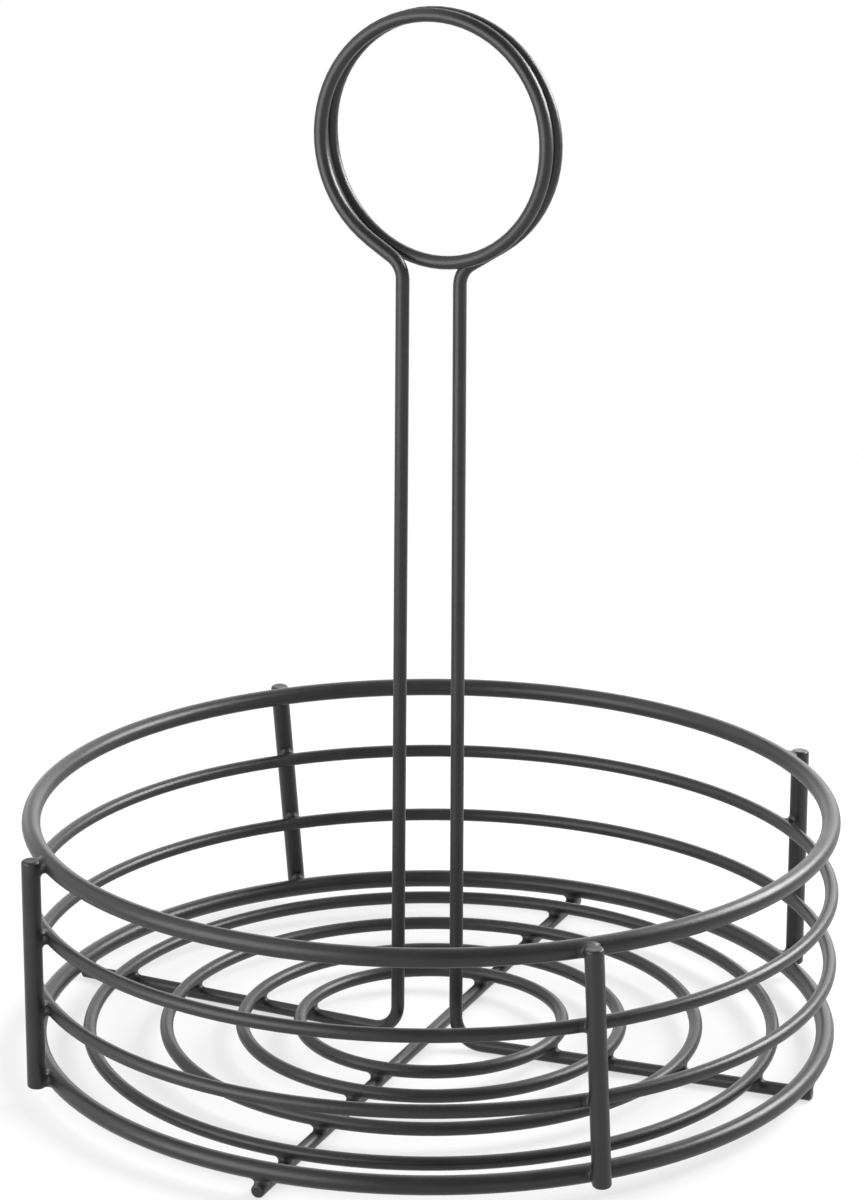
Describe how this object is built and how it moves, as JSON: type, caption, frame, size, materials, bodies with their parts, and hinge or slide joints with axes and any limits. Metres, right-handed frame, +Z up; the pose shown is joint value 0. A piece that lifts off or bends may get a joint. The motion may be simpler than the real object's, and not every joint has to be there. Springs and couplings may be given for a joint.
{
  "type": "condiment rack",
  "caption": "Round open basket of coated steel wire with a floor of rings and a tall central handle that ends in a finger loop, for carrying bottles and shakers to a table.",
  "frame": {"origin": "on the table, under the middle of the rack, where the lowest wires rest", "axes": "+Z up along the handle; X nearly along the handle's feet; -Y towards the viewer's side of the picture, turned by 22 degrees"},
  "size_m": [0.1945, 0.1954, 0.25],
  "materials": {
    "wire_coat": "satin black powder coat on steel wire",
    "weld_coat": "satin black powder coat over weld metal"
  },
  "bodies": {
    "root": {"rim_ring": "wire_coat", "upper_side_ring": "wire_coat", "lower_side_ring": "wire_coat", "base_ring": "wire_coat", "right_rear_upright": "wire_coat", "left_rear_upright": "wire_coat", "left_front_upright": "wire_coat", "right_front_upright": "wire_coat", "outer_floor_ring": "wire_coat", "second_floor_ring": "wire_coat", "third_floor_ring": "wire_coat", "inner_floor_ring": "wire_coat", "cross_brace": "wire_coat", "handle": "wire_coat", "rim_welds": "weld_coat", "upper_side_welds": "weld_coat", "lower_side_welds": "weld_coat", "base_ring_welds": "weld_coat", "brace_welds": "weld_coat", "handle_foot_welds": "weld_coat"}
  },
  "joints": []
}
